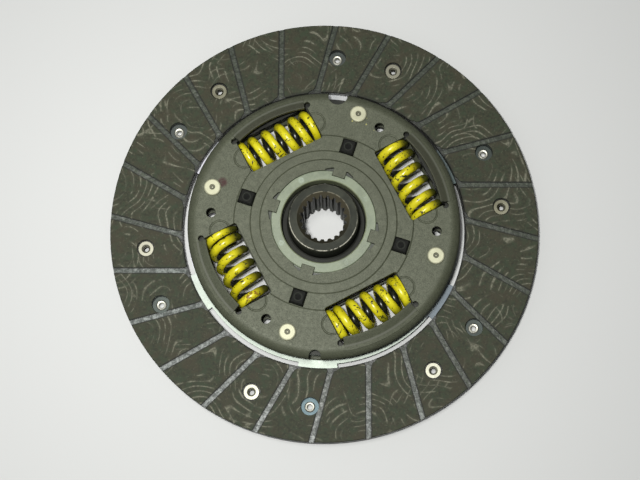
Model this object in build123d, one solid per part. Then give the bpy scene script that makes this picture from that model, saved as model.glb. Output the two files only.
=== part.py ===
from build123d import *
import os
from math import sin, cos, radians, degrees, atan2, asin, sqrt, pi

# Clutch disc with a torsional damper.
# Frame: millimetres, +Z up, Z axis = the disc's axis of turning.
# z = 0 is the rear friction face, on which the disc lies flat; the long end of the
# hub points up (+Z).  Angles are measured from +X, anticlockwise seen from above.

# ------------------------------------------------------------------ driving dimensions
FACING_R_OUT = 95.0        # friction ring outer radius (190 mm disc)
FACING_R_IN = 62.8         # friction ring inner radius
FACING_T = 3.4             # thickness of one facing
PACK_T = 8.0               # both facings and the cushion disc, uncompressed
GROOVES = 24               # grooves in each facing
GROOVE_W = 2.3             # groove width
GROOVE_DEPTH = 0.75        # groove depth
GROOVE_OUT_DEG = 11.7      # where the first groove leaves the outer edge
GROOVE_SLANT_DEG = 6.3     # how far it has turned when it reaches the inner edge
GROOVE_FLARE = 1.7         # rounding of the pad corners at the inner edge
FACING_CHAMFER = 0.35      # edge break of the facings
FACING_ROUND = 0.6         # rounding of the facings' inner edge

RIVET_R = 79.5             # pitch radius of the facing rivets
RIVET_A_DEG = 6.7          # front facing rivets, every 60 degrees
RIVET_B_DEG = 25.6         # rear facing rivets, every 60 degrees
RIVET_POCKET_R = 3.95      # counterbore and clearance hole radius
RIVET_HEAD_R = 3.6
RIVET_SHANK_R = 2.0
RIVET_BORE_R = 1.25
RIVET_TAIL_R = 2.3
RIVET_SEAT = 1.5           # facing left under a rivet head
RIVET_HEAD_T = 0.7

CUSHION_T = 0.7            # spring steel sheet
CUSHION_RING_R = 60.6      # outer radius of the inner ring
CUSHION_RING_IN = 57.15    # inner radius of the inner ring
CUSHION_RING_Z = 3.65      # underside of the inner ring
CUSHION_LOBE_R = 45.8      # how far in the riveting lobes reach
CUSHION_LOBE_HALF = 16.5   # half angle of a lobe
CUSHION_R_OUT = 93.6       # paddle outer radius
NECK_DEG = 27.5            # centre of the first neck, then every 60 degrees
NECK_HALF = 8.0            # half angle of a neck

PLATE_T = 2.0              # guide plate sheet
COVER_Z = 18.75            # top of the cover's flat ring
COVER_R = 59.9             # cover outer radius
SHOULDER_R = 4.5           # rounding of the cover's shoulder
RIM_Z = 13.5               # lower edge of the cover's rim
STEP_R = (39.25, 32.0, 27.8)  # radii of the three pressed steps
STEP_H = 0.5               # rise of each step
COVER_BORE_R = 22.95
TAB_R = 20.85              # inner end of the four keying tabs
TAB_W = 5.6
TAB_DEG = 72.0
REAR_PLATE_R = 58.95
REAR_PLATE_Z = 4.35        # underside of the rear plate's flat ring
REAR_BORE_R = 19.5

WINDOW_DEG = 27.5          # centre of the first spring window, then every 90 degrees
WINDOW_HALF = 17.6         # half length of a window
WINDOW_IN = 34.2           # distance of its inner edge from the axis
LIP_R_IN = 51.8            # inner edge of the raised lip
LIP_R_OUT = 56.35          # bend line of the lip
LIP_RISE = 2.5
RELIEF_X = 18.2            # relief holes at the lip's ends
RELIEF_Y = 50.75
RELIEF_R = 1.35

PIN_DEG = 72.4             # stop rivets
PIN_R = 51.1
PIN_SHANK_R = 3.5
PIN_NECK_R = 2.6
PIN_HEAD_R = 3.7
PIN_HEAD_T = 1.8

HOLE_R = 49.5              # four through holes
HOLE_DEG = (60.0, 175.0, 240.0, 355.0)
HOLE_RADIUS = 2.15
HOLE_REAR_RADIUS = (4.1, 2.9, 2.15, 3.3)   # the same holes in the rear plate and the cushion disc

NOTCH_A_DEG, NOTCH_A_R, NOTCH_A_C = 83.7, 4.3, 58.15  # rim notches: angle, radius, centre
NOTCH_B_DEG, NOTCH_B_R, NOTCH_B_C = 266.3, 2.6, 58.95

FLANGE_Z = 11.55           # mid plane of the damper
FLANGE_T = 3.6
FLANGE_R = 57.8
FLANGE_STOP_DEG = 12.3     # turn of the hub before a stop rivet meets the flange
FLANGE_GAP = 0.35

HUB_R = 15.3               # barrel
HUB_COLLAR_R = 18.3
HUB_COLLAR_Z = 14.75
HUB_Z0, HUB_Z1 = 1.0, 26.65
HUB_TEETH_OUT = 12         # teeth that key the hub into its flange
HUB_TEETH_R = 20.5
SPLINES = 20
SPLINE_ROOT_R = 10.3       # bottom of the spaces
SPLINE_TIP_R = 9.15        # top of the teeth
SPLINE_GAP_DEG = 6.5       # centre of one space
BORE_CHAMFER = 1.15

SPRING_WIRE = 3.8
SPRING_OD = 16.8
SPRING_R = 42.65           # distance of the spring axis from the disc axis
SPRING_HALF = 17.3         # half length
SPRING_TURNS = 5.65

PEG_R = 35.3               # square pegs of the friction ring
PEG_W, PEG_L = 6.2, 6.6
PEG_TOP = 20.75

GAP = 0.05                 # running clearance between flat faces

os.makedirs("parts", exist_ok=True)


def ring(r_in, r_out, z0, z1):
    s = Pos(0, 0, (z0 + z1) / 2) * Cylinder(r_out, z1 - z0)
    return s - Pos(0, 0, (z0 + z1) / 2) * Cylinder(r_in, z1 - z0 + 2)


def at(deg, r, z=0.0):
    """Location at an angle and radius: local X tangential (clockwise), local Y outward."""
    return Rot(0, 0, deg - 90) * Pos(0, r, z)


def revolved(points, angle=360.0, start=0.0):
    """Revolve a closed (r, z) polygon about Z."""
    with BuildSketch(Plane.XZ) as sk:
        with BuildLine():
            Polyline(*points, close=True)
        make_face()
    s = revolve(sk.sketch, Axis.Z, angle)
    return Rot(0, 0, start) * s


def sector_box(r_in, r_out, a0, a1, z0, z1):
    """A ring sector between two angles (degrees)."""
    n = max(2, int((a1 - a0) / 8) + 1)
    pts = []
    far = r_out * 1.25
    for i in range(n + 1):
        a = radians(a0 + (a1 - a0) * i / n)
        pts.append((far * cos(a), far * sin(a)))
    with BuildSketch(Plane.XY.offset(z0)) as sk:
        with BuildLine():
            Polyline((0, 0), *pts, close=True)
        make_face()
    wedge = extrude(sk.sketch, amount=z1 - z0)
    return ring(r_in, r_out, z0, z1) & wedge


# ------------------------------------------------------------------ facings
def groove_cutters(z0, z1, mirror_slant=False):
    """One slanted groove with flared, rounded corners at the facing's inner edge."""
    sgn = -1 if mirror_slant else 1
    a_out = radians(GROOVE_OUT_DEG)
    a_in = radians(GROOVE_OUT_DEG + GROOVE_SLANT_DEG)
    po = Vector(FACING_R_OUT * cos(a_out), FACING_R_OUT * sin(a_out))
    pi_ = Vector(FACING_R_IN * cos(a_in), FACING_R_IN * sin(a_in))
    d = (po - pi_).normalized()
    nrm = Vector(-d.Y, d.X)
    w = GROOVE_W / 2
    f = GROOVE_FLARE
    a = pi_ - d * 3.0
    # outline: wide at the inner edge, then the straight channel
    pts = [
        a + nrm * (w + f * 2.2), a - nrm * (w + f * 2.2),
        pi_ - nrm * (w + f) + d * 0.15, pi_ - nrm * (w + f * 0.42) + d * (f * 0.45),
        pi_ - nrm * (w + f * 0.10) + d * (f * 1.15), pi_ - nrm * w + d * (f * 1.9),
        po - nrm * w + d * 4.0, po + nrm * w + d * 4.0,
        pi_ + nrm * w + d * (f * 1.9), pi_ + nrm * (w + f * 0.10) + d * (f * 1.15),
        pi_ + nrm * (w + f * 0.42) + d * (f * 0.45), pi_ + nrm * (w + f) + d * 0.15,
    ]
    with BuildSketch(Plane.XY.offset(z0)) as sk:
        with BuildLine():
            Polyline(*[(p.X, p.Y) for p in pts], close=True)
        make_face()
    c = extrude(sk.sketch, amount=z1 - z0)
    return [Rot(0, 0, k * 360 / GROOVES) * c for k in range(GROOVES)]


def facing(front):
    z0 = PACK_T - FACING_T if front else 0.0
    z1 = z0 + FACING_T
    c = FACING_CHAMFER
    q = FACING_ROUND
    inner = [(q * (1 - cos(radians(a))), q * (1 - sin(radians(a)))) for a in (0, 30, 60, 90)]
    if front:
        prof = [(FACING_R_IN, z0), (FACING_R_OUT, z0), (FACING_R_OUT, z1 - c), (FACING_R_OUT - c, z1)]
        prof += [(FACING_R_IN + dr, z1 - dz) for dr, dz in reversed(inner)]
    else:
        prof = [(FACING_R_IN + dr, z0 + dz) for dr, dz in inner]
        prof += [(FACING_R_OUT - c, z0), (FACING_R_OUT, z0 + c), (FACING_R_OUT, z1), (FACING_R_IN, z1)]
    body = revolved(prof)
    if front:
        cuts = groove_cutters(z1 - GROOVE_DEPTH, z1 + 1)
    else:
        cuts = groove_cutters(z0 - 1, z0 + GROOVE_DEPTH)
    for k in range(6):
        for base, head_side in ((RIVET_A_DEG, True), (RIVET_B_DEG, False)):
            loc = at(base + 60 * k, RIVET_R)
            if head_side == front:
                # seat of a rivet head: counterbore and a shank hole
                if front:
                    cuts.append(loc * Pos(0, 0, z0 + RIVET_SEAT + 5) * Cylinder(RIVET_POCKET_R, 10))
                else:
                    cuts.append(loc * Pos(0, 0, z1 - RIVET_SEAT - 5) * Cylinder(RIVET_POCKET_R, 10))
                cuts.append(loc * Pos(0, 0, (z0 + z1) / 2) * Cylinder(RIVET_SHANK_R + 0.1, 12))
            else:
                cuts.append(loc * Pos(0, 0, (z0 + z1) / 2) * Cylinder(RIVET_POCKET_R, 12))
    return body - cuts


# ------------------------------------------------------------------ cushion disc
LOW = FACING_T                       # paddle lying on the rear facing
HIGH = PACK_T - FACING_T - CUSHION_T  # paddle lying on the front facing
MID = (LOW + HIGH) / 2


def ramp(r_in, r_out, a0, z_a0, a1, z_a1, t):
    """A sheet strip between two radial lines at different heights."""
    def section(a, z):
        pl = Plane(origin=(0, 0, 0), x_dir=(cos(radians(a)), sin(radians(a)), 0),
                   z_dir=(sin(radians(a)), -cos(radians(a)), 0))
        with BuildSketch(pl) as s:
            with BuildLine():
                Polyline((r_in, z), (r_out, z), (r_out, z + t), (r_in, z + t), close=True)
            make_face()
        return s.sketch
    return loft([section(a0, z_a0), section(a1, z_a1)])


def cushion_disc():
    t = CUSHION_T
    z = CUSHION_RING_Z
    body = ring(CUSHION_RING_IN, CUSHION_RING_R, z, z + t)
    for k in range(4):
        c = PIN_DEG + 90 * k
        body += sector_box(CUSHION_LOBE_R, CUSHION_RING_IN + 0.5, c - CUSHION_LOBE_HALF, c + CUSHION_LOBE_HALF, z, z + t)
    r_a, r_b = CUSHION_RING_R - 0.6, FACING_R_IN - 0.3   # the neck joins these radii
    for k in range(6):
        c = NECK_DEG + 60 * k
        # neck: a level strip that carries one paddle
        body += sector_box(r_a, r_b + 1.2, c - NECK_HALF, c + NECK_HALF, z, z + t)
        # paddle: a level inner band, then pads that lie by turns on the two facings
        r1, r2 = r_b + 0.9, CUSHION_R_OUT
        a_lo, a_hi = c - 28.3, c + 28.3
        body += sector_box(r1, r1 + 3.4, c - 17, c + 17, MID, MID + t)
        ri = r1 + 3.2
        spans = [(a_lo, HIGH, c - 13.5), (c - 8.5, LOW, c + 5.0), (c + 9.5, HIGH, a_hi)]
        for i, (s0, zz, s1) in enumerate(spans):
            body += sector_box(ri + 0.9, r2, s0, s1, zz, zz + t)
            if i < 2:
                n0, nz, n1 = spans[i + 1]
                body += ramp(ri + 0.9, r2, s1, zz, n0, nz, t)
        # radial ramps that join the level band to the pads
        for s0, zz, s1 in ((c - 17, HIGH, c - 13.5), (c - 8.5, LOW, c + 5.0), (c + 9.5, HIGH, c + 17)):
            body += revolved([(ri - 0.6, MID), (ri + 1.4, zz), (ri + 1.4, zz + t), (ri - 0.6, MID + t)],
                             s1 - s0, s0)
    cuts = []
    for k in range(6):
        for base in (RIVET_A_DEG, RIVET_B_DEG):
            cuts.append(at(base + 60 * k, RIVET_R, 4) * Cylinder(RIVET_SHANK_R + 0.1, 12))
    for k in range(4):
        cuts.append(at(PIN_DEG + 90 * k, PIN_R, z) * Cylinder(PIN_NECK_R + 0.05, 12))
    for d, rh in zip(HOLE_DEG, HOLE_REAR_RADIUS):
        cuts.append(at(d, HOLE_R, z) * Cylinder(rh, 12))
    # the widest hole breaks out of its lobe: the crumb it would leave is cut away too
    return max((body - cuts).solids(), key=lambda q: q.volume)


# ------------------------------------------------------------------ facing rivets
def facing_rivet(front):
    """Tubular rivet: flat flanged head, bored shank, tail rolled over the cushion disc."""
    z_head = PACK_T - FACING_T + RIVET_SEAT        # seat of the head
    z_tail = HIGH                                  # underside of the sheet it clamps
    h = RIVET_HEAD_T
    prof = [(RIVET_BORE_R, z_tail - 0.62), (RIVET_TAIL_R - 0.45, z_tail - 0.75), (RIVET_TAIL_R, z_tail - 0.45),
            (RIVET_TAIL_R + 0.05, z_tail - 0.0), (RIVET_SHANK_R, z_tail), (RIVET_SHANK_R, z_head),
            (RIVET_HEAD_R - 0.1, z_head), (RIVET_HEAD_R, z_head + 0.12), (RIVET_HEAD_R, z_head + h - 0.25),
            (RIVET_HEAD_R - 0.3, z_head + h), (RIVET_BORE_R + 0.7, z_head + h), (RIVET_BORE_R, z_head + h - 0.6)]
    if not front:
        prof = [(r, PACK_T - zz) for r, zz in prof]
    return revolved(prof)


def facing_rivets(front):
    base = RIVET_A_DEG if front else RIVET_B_DEG
    r = facing_rivet(front)
    return [at(base + 60 * k, RIVET_R) * r for k in range(6)]


# ------------------------------------------------------------------ guide plates
def window_cutter(z0, z1):
    """Spring window: straight ends and inner edge, outer edge along the lip's bend."""
    with BuildSketch(Plane.XY.offset(z0)) as sk:
        with BuildLine():
            y1 = sqrt(LIP_R_OUT ** 2 - (WINDOW_HALF - 0.6) ** 2)
            Polyline((-WINDOW_HALF, RELIEF_Y), (-WINDOW_HALF, WINDOW_IN), (WINDOW_HALF, WINDOW_IN),
                     (WINDOW_HALF, RELIEF_Y), (WINDOW_HALF - 0.6, y1))
            ThreePointArc((WINDOW_HALF - 0.6, y1), (0, LIP_R_OUT), (-WINDOW_HALF + 0.6, y1))
            Line((-WINDOW_HALF + 0.6, y1), (-WINDOW_HALF, RELIEF_Y))
        make_face()
        fillet([v for v in sk.vertices() if v.Y < WINDOW_IN + 1], 1.2)
    c = extrude(sk.sketch, amount=z1 - z0)
    for s in (-1, 1):
        c += Pos(s * RELIEF_X, RELIEF_Y, (z0 + z1) / 2) * Cylinder(RELIEF_R, z1 - z0)
    return c


def lip():
    """The retaining lip on a window's outer side, rising inwards from its bend line."""
    half = degrees(asin((WINDOW_HALF - 0.9) / 53.5))
    t = PLATE_T
    z = COVER_Z
    r0, r1 = LIP_R_IN, LIP_R_OUT
    prof = [(r1 + 1.3, z - t), (r1 + 1.3, z - 0.35), (r1 - 0.2, z + 0.12), (r1 - 1.0, z + 0.55), (r0 + 0.9, z + LIP_RISE - 0.35),
            (r0 + 0.25, z + LIP_RISE - 0.05), (r0, z + LIP_RISE - 0.25),
            (r0, z + LIP_RISE - t + 0.1), (r0 + 0.3, z + LIP_RISE - t - 0.15), (r1 - 1.4, z - t + 0.35), (r1 - 0.5, z - t)]
    return revolved(prof, 2 * half, 90 - half)


def plate_common(body, lip_solid, zc, hole_radii):
    cut = [Rot(0, 0, WINDOW_DEG + 90 * k - 90) * window_cutter(zc - 8, zc + 8) for k in range(4)]
    body = body - cut
    for k in range(4):
        body += Rot(0, 0, WINDOW_DEG + 90 * k - 90) * lip_solid
    cuts = [at(PIN_DEG + 90 * k, PIN_R, zc) * Cylinder(PIN_NECK_R + 0.05, 20) for k in range(4)]
    cuts += [at(d, HOLE_R, zc) * Cylinder(rh, 20) for d, rh in zip(HOLE_DEG, hole_radii)]
    return body - cuts


def stepped_profile(r_in, z, t, direction, outer):
    """(r, z) outline of a plate whose centre is pressed out in small steps."""
    up, dn = [], []
    s1, s2, s3 = STEP_R
    w = 0.55
    lv = [0, STEP_H * direction, 2 * STEP_H * direction, 3 * STEP_H * direction]
    for surf, dz in ((up, 0.0), (dn, -t)):
        for i, r in enumerate((s1, s2, s3)):
            surf.append((r + w / 2, z + lv[i] + dz))
            surf.append((r - w / 2, z + lv[i + 1] + dz))
        surf.append((r_in, z + lv[3] + dz))
    return outer + up + list(reversed(dn))


def cover_plate():
    z, t = COVER_Z, PLATE_T
    rc = COVER_R - SHOULDER_R
    zc = z - SHOULDER_R
    n = 10
    outer_in = [(COVER_R - t, RIM_Z)]
    for i in range(n + 1):
        a = radians(90 * i / n)
        outer_in.append((rc + (SHOULDER_R - t) * cos(a), zc + (SHOULDER_R - t) * sin(a)))
    outer_out = [(COVER_R, RIM_Z)]
    for i in range(n + 1):
        a = radians(90 * i / n)
        outer_out.append((rc + SHOULDER_R * cos(a), zc + SHOULDER_R * sin(a)))
    # closed outline: inner skin of the rim (reversed), rim edge, outer skin, top, bore, underside
    with BuildSketch(Plane.XZ) as sk:
        with BuildLine():
            prof = stepped_profile(COVER_BORE_R, z, t, +1, [])
            Polyline((COVER_R - t, zc), (COVER_R - t, RIM_Z), (COVER_R - 0.3, RIM_Z), (COVER_R, RIM_Z + 0.3), (COVER_R, zc))
            RadiusArc((COVER_R, zc), (rc, z), -SHOULDER_R)
            Polyline((rc, z), *prof, (rc, z - t))
            RadiusArc((rc, z - t), (COVER_R - t, zc), SHOULDER_R - t)
        make_face()
    body = revolve(sk.sketch, Axis.Z, 360)
    body = plate_common(body, lip(), z, (HOLE_RADIUS,) * 4)
    cuts = []
    # rim notches, U shaped
    for d, r, c in ((NOTCH_A_DEG, NOTCH_A_R, NOTCH_A_C), (NOTCH_B_DEG, NOTCH_B_R, NOTCH_B_C)):
        cuts.append(at(d, c, z - 4) * Cylinder(r, 20))
        cuts.append(at(d, c + 5, z - 4) * Box(2 * r, 10, 20))
    # square holes for the pegs of the friction ring
    for k in range(4):
        cuts.append(at(TAB_DEG + 90 * k, PEG_R, z) * Box(PEG_W + 0.3, PEG_L + 0.3, 20))
    # coined half rounds at the window ends
    for k in range(4):
        base = Rot(0, 0, WINDOW_DEG + 90 * k - 90)
        for s in (-1, 1):
            g = Pos(s * (WINDOW_HALF - 0.1), 41.85, z + 0.06) * Torus(4.4, 0.42)
            cuts.append(base * g)
    body = body - cuts
    # keying tabs of the bore, each with a pointed relief on both sides
    ztop = z + 3 * STEP_H
    for k in range(4):
        d = TAB_DEG + 90 * k
        rel = []
        for s in (-1, 1):
            with BuildSketch(Plane.XY.offset(ztop - t - 1)) as sk:
                with BuildLine():
                    Polyline((s * TAB_W / 2, 21.1), (s * TAB_W / 2, 24.25), (s * (TAB_W / 2 + 0.7), 24.25),
                             (s * (TAB_W / 2 + 3.6), 22.75), (s * (TAB_W / 2 + 3.6), 21.1), close=True)
                make_face()
            rel.append(Rot(0, 0, d - 90) * extrude(sk.sketch, amount=t + 2))
        body = body - rel
        tab = at(d, (TAB_R + 23.8) / 2, ztop - t / 2) * Box(TAB_W, 23.8 - TAB_R, t)
        body += tab
    return body


def rear_guide_plate():
    z0, t = REAR_PLATE_Z, PLATE_T
    prof = stepped_profile(REAR_BORE_R, z0 + t, t, -1, [(REAR_PLATE_R, z0 + 0.3), (REAR_PLATE_R, z0 + t - 0.3), (REAR_PLATE_R - 0.3, z0 + t)])
    prof = prof + [(REAR_PLATE_R - 0.3, z0)]
    body = revolved(prof)
    # the lip points the other way here: mirrored in the damper's mid plane
    m = mirror(lip(), Plane.XY.offset(FLANGE_Z))
    return plate_common(body, m, z0 + t / 2, HOLE_REAR_RADIUS)


# ------------------------------------------------------------------ stop rivets
def stop_rivets():
    zt = COVER_Z
    zr = CUSHION_RING_Z
    hr, hh = PIN_HEAD_R, PIN_HEAD_T
    prof = [(0, zt + hh - 0.75), (0.95, zt + hh - 0.75), (1.25, zt + hh), (hr - 0.55, zt + hh), (hr - 0.15, zt + hh - 0.2),
            (hr, zt + hh - 0.6), (hr, zt + 0.25), (hr - 0.2, zt), (PIN_NECK_R, zt), (PIN_NECK_R, zt - PLATE_T),
            (PIN_SHANK_R, zt - PLATE_T), (PIN_SHANK_R, REAR_PLATE_Z + PLATE_T), (PIN_NECK_R, REAR_PLATE_Z + PLATE_T),
            (PIN_NECK_R, zr), (hr - 0.2, zr), (hr, zr - 0.25), (hr - 0.1, zr - 0.9), (hr - 0.9, zr - 1.5), (0, zr - 1.5)]
    p = revolved(prof)
    return [at(PIN_DEG + 90 * k, PIN_R) * p for k in range(4)]


# ------------------------------------------------------------------ hub
def hub():
    c = 0.7
    prof = [(SPLINE_TIP_R, HUB_Z0), (HUB_R - 0.6, HUB_Z0), (HUB_R, HUB_Z0 + 0.6), (HUB_R, FLANGE_Z - FLANGE_T / 2),
            (HUB_COLLAR_R, FLANGE_Z - FLANGE_T / 2), (HUB_COLLAR_R, HUB_COLLAR_Z - 0.4), (HUB_COLLAR_R - 0.4, HUB_COLLAR_Z),
            (HUB_R + 0.9, HUB_COLLAR_Z), (HUB_R + 0.25, HUB_COLLAR_Z + 0.25), (HUB_R, HUB_COLLAR_Z + 0.9),
            (HUB_R, HUB_Z1 - c), (HUB_R - c, HUB_Z1), (SPLINE_TIP_R, HUB_Z1)]
    body = revolved(prof)
    # outer teeth that key into the flange
    za, zb = FLANGE_Z - FLANGE_T / 2, FLANGE_Z + FLANGE_T / 2
    for k in range(HUB_TEETH_OUT):
        a = k * 360 / HUB_TEETH_OUT
        body += sector_box(HUB_COLLAR_R - 0.5, HUB_TEETH_R, a - 6.5, a + 6.5, za, zb)
    # spline spaces: trapezoids cut out of the bore
    with BuildSketch(Plane.XY.offset(HUB_Z0 - 1)) as sk:
        with BuildLine():
            Polyline((-1.05, SPLINE_TIP_R - 1.2), (-0.98, SPLINE_TIP_R - 0.1), (-0.47, SPLINE_ROOT_R - 0.05), (0, SPLINE_ROOT_R),
                     (0.47, SPLINE_ROOT_R - 0.05), (0.98, SPLINE_TIP_R - 0.1), (1.05, SPLINE_TIP_R - 1.2), close=True)
        make_face()
    gap = extrude(sk.sketch, amount=HUB_Z1 - HUB_Z0 + 2)
    cuts = [Rot(0, 0, SPLINE_GAP_DEG + k * 360 / SPLINES - 90) * gap for k in range(SPLINES)]
    # lead-in chamfers of the bore
    ri = SPLINE_ROOT_R + BORE_CHAMFER
    cuts.append(revolved([(0, HUB_Z1 + 1), (ri + 1, HUB_Z1 + 1), (ri, HUB_Z1), (SPLINE_TIP_R - 0.1, HUB_Z1 - 2.3), (0, HUB_Z1 - 2.3)]))
    cuts.append(revolved([(0, HUB_Z0 - 1), (ri + 1, HUB_Z0 - 1), (ri, HUB_Z0), (SPLINE_TIP_R - 0.1, HUB_Z0 + 1.6), (0, HUB_Z0 + 1.6)]))
    return body - cuts


def hub_flange():
    za, zb = FLANGE_Z - FLANGE_T / 2, FLANGE_Z + FLANGE_T / 2
    body = ring(HUB_COLLAR_R + 0.05, FLANGE_R, za, zb)
    cuts = []
    for k in range(HUB_TEETH_OUT):
        a = k * 360 / HUB_TEETH_OUT
        cuts.append(sector_box(HUB_COLLAR_R - 1.5, HUB_TEETH_R + 0.1, a - 6.7, a + 6.7, za - 1, zb + 1))
    # spring windows
    with BuildSketch(Plane.XY.offset(za - 1)) as sk:
        with Locations((0, (WINDOW_IN - 0.3 + 51.6) / 2)):
            RectangleRounded(2 * (WINDOW_HALF - 0.1), 51.6 - WINDOW_IN + 0.3, 0.8)
    w = extrude(sk.sketch, amount=FLANGE_T + 2)
    cuts += [Rot(0, 0, WINDOW_DEG + 90 * k - 90) * w for k in range(4)]
    # closed slots for the stop rivets
    r_n = PIN_R - PIN_SHANK_R - FLANGE_GAP
    r_x = PIN_R + PIN_SHANK_R + FLANGE_GAP
    half = FLANGE_STOP_DEG + degrees(asin((PIN_SHANK_R + 0.05) / PIN_R))
    for k in range(4):
        a = PIN_DEG + 90 * k
        cuts.append(sector_box(r_n, r_x, a - half, a + half, za - 1, zb + 1))
    return body - cuts


# ------------------------------------------------------------------ friction pack
FZ0, FZ1 = FLANGE_Z - FLANGE_T / 2, FLANGE_Z + FLANGE_T / 2


def thrust_washer():
    return ring(18.5, 25.2, FZ1 + GAP, FZ1 + GAP + 0.75)


def front_bush():
    z0 = FZ1 + GAP + 0.75
    under = COVER_Z + 3 * STEP_H - PLATE_T
    top = COVER_Z + 3 * STEP_H - 0.3
    prof = [(18.5, z0), (25.2, z0), (25.2, under - 0.05), (COVER_BORE_R - 0.1, under - 0.05), (COVER_BORE_R - 0.1, top - 0.25),
            (COVER_BORE_R - 0.35, top), (18.9, top), (18.5, top - 0.4)]
    body = revolved(prof)
    cuts = [at(TAB_DEG + 90 * k, TAB_R + 2.5, under + 1.45) * Box(TAB_W + 0.3, 5.3, 3.0) for k in range(4)]
    # shallow round moulding marks
    for k in range(4):
        cuts.append(at(28 + 90 * k, 20.85, top + 0.5) * Cylinder(1.15, 1.16))
    return body - cuts


def friction_ring():
    z0, z1 = FZ1 + GAP, FZ1 + GAP + 2.0
    body = ring(25.6, 33.2, z0, z1)
    for k in range(4):
        body += at(TAB_DEG + 90 * k, 34.6, (z0 + z1) / 2) * Box(8.4, 8.0, z1 - z0)
        peg = at(TAB_DEG + 90 * k, PEG_R, (z1 + PEG_TOP) / 2 - 0.2) * Box(PEG_W, PEG_L, PEG_TOP - z1 + 0.4)
        peg = fillet(peg.edges().filter_by(Axis.Z), 1.0)
        peg = chamfer(peg.faces().sort_by(Axis.Z)[-1].edges(), 0.65)
        body += peg
    cuts = [at(TAB_DEG + 90 * k, PEG_R, PEG_TOP) * Cylinder(1.5, 1.6) for k in range(4)]
    return body - cuts


def front_diaphragm_washer():
    z_up = COVER_Z + 3 * STEP_H - PLATE_T - 0.1
    z_dn = FZ1 + GAP + 2.0 + 0.05
    return revolved([(26.3, z_up - 0.85), (26.3, z_up), (31.2, z_dn + 0.85), (31.2, z_dn)])


def rear_bush():
    zp = REAR_PLATE_Z + PLATE_T - 3 * STEP_H
    prof = [(15.5, 2.6), (19.0, 2.6), (19.3, 2.9), (19.3, zp + 0.02), (24.0, zp + 0.02), (24.0, zp + 2.1), (19.3, zp + 2.1),
            (19.3, FZ0 - GAP), (15.5, FZ0 - GAP)]
    return revolved(prof)


def rear_friction_washer():
    return ring(24.5, 33.2, FZ0 - GAP - 1.75, FZ0 - GAP)


def rear_diaphragm_washer():
    z_dn = REAR_PLATE_Z + PLATE_T - 3 * STEP_H + 0.05
    z_up = FZ0 - GAP - 1.75 - 0.05
    return revolved([(26.3, z_dn), (26.3, z_dn + 0.85), (31.5, z_up), (31.5, z_up - 0.85)])


# ------------------------------------------------------------------ damper springs
def spring_path_points():
    """Centre line of the wire: closed end turns, open turns between, right-handed."""
    L = 2 * SPRING_HALF
    d = SPRING_WIRE
    n = SPRING_TURNS
    end_turn = 0.9
    p_end = d * 1.03
    active = n - 2 * end_turn
    total = L - d * 0.55            # the ends are ground back
    p_act = (total - 2 * end_turn * p_end) / active
    blend = 0.30

    def rate(u):
        """pitch per turn at u turns from the start"""
        e0 = max(0.0, min(1.0, (u - (end_turn - blend)) / (2 * blend)))
        e1 = max(0.0, min(1.0, ((n - u) - (end_turn - blend)) / (2 * blend)))
        s = min(e0, e1)
        s = s * s * (3 - 2 * s)
        return p_end + (p_act - p_end) * s
    steps = int(n * 16)
    xs = [0.0]
    for i in range(steps):
        xs.append(xs[-1] + rate((i + 0.5) * n / steps) * n / steps)
    k = total / xs[-1]
    r = (SPRING_OD - d) / 2
    pts = []
    for i in range(steps + 1):
        a = 2 * pi * (i * n / steps) - radians(27)
        pts.append((xs[i] * k - total / 2, r * cos(a), r * sin(a)))
    return pts


def damper_spring():
    pts = spring_path_points()
    path = Spline(*pts)
    start = pts[0]
    tang = path % 0
    prof = Plane(origin=path @ 0, z_dir=tang) * Circle(SPRING_WIRE / 2)
    s = sweep(prof, path=path)
    # ground ends
    s = s & Box(2 * SPRING_HALF, 40, 40)
    return s


def springs():
    s = damper_spring()
    out = []
    for k in range(4):
        out.append(Rot(0, 0, WINDOW_DEG + 90 * k - 90) * Pos(0, SPRING_R, FLANGE_Z) * s)
    return out


# ------------------------------------------------------------------ write the nodes
def write(name, shape):
    if isinstance(shape, (list, tuple)):
        shape = Compound(children=[s if isinstance(s, Solid) else s.solids()[0] for s in shape])
    export_step(shape, "parts/%s.step" % name)


nodes = {
    "front_facing": facing(True),
    "rear_facing": facing(False),
    "cushion_disc": cushion_disc(),
    "front_facing_rivets": facing_rivets(True),
    "rear_facing_rivets": facing_rivets(False),
    "front_cover_plate": cover_plate(),
    "rear_guide_plate": rear_guide_plate(),
    "stop_rivets": stop_rivets(),
    "hub": hub(),
    "hub_flange": hub_flange(),
    "front_bush": front_bush(),
    "thrust_washer": thrust_washer(),
    "friction_ring": friction_ring(),
    "front_diaphragm_washer": front_diaphragm_washer(),
    "rear_bush": rear_bush(),
    "rear_friction_washer": rear_friction_washer(),
    "rear_diaphragm_washer": rear_diaphragm_washer(),
}
for i, s in enumerate(springs()):
    nodes["damper_spring_%d" % (i + 1)] = s

for name, shape in nodes.items():
    write(name, shape)
    print(name)
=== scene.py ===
import math

import bmesh
import bpy
import numpy as np
from mathutils import Matrix, Vector


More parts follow.
